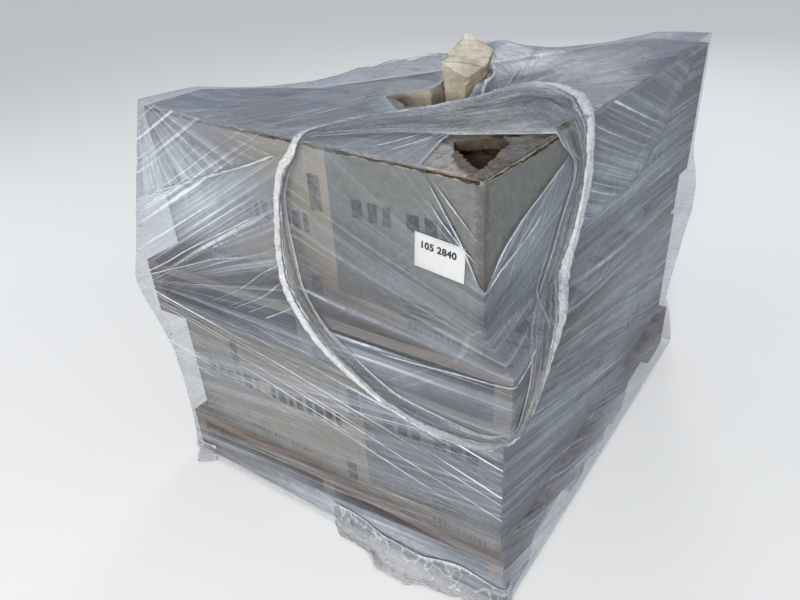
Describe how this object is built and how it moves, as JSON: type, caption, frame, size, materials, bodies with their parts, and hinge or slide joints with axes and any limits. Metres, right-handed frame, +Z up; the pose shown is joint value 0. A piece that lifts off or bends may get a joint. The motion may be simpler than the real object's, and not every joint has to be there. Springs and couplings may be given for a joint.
{
  "type": "pallet of ledgestone veneer",
  "caption": "Stacked pallet load of ledgestone veneer: stone in corrugated crates on wooden pallets, held by stretch film, with a torn and partly open top",
  "frame": {"origin": "on the floor under the middle of the load's bounding box", "axes": "+Z up; -Y is the front, the load's 1016 mm side with the paper label; +X is the right-hand side"},
  "size_m": [1.0748, 1.2894, 1.1479],
  "materials": {
    "lower_pallet_wood": "rough, weathered",
    "pallet_wood": "rough, weathered",
    "corrugated_board": "matte, weathered",
    "veneer_stone": "split face",
    "stretch_film": "clear, milky in folds",
    "label_paper": "matte"
  },
  "bodies": {
    "root": {"lower_pallet_bottom_boards": "lower_pallet_wood", "lower_pallet_stringers": "lower_pallet_wood", "lower_pallet_top_boards": "lower_pallet_wood", "lower_crate": "corrugated_board", "lower_stone_core": "veneer_stone", "upper_pallet_bottom_boards": "pallet_wood", "upper_pallet_stringers": "pallet_wood", "upper_pallet_top_boards": "pallet_wood", "upper_crate": "corrugated_board", "upper_stone_core": "veneer_stone", "loose_stones": "veneer_stone", "standing_stone": "veneer_stone", "stretch_film": "stretch_film", "paper_label": "label_paper"}
  },
  "joints": []
}
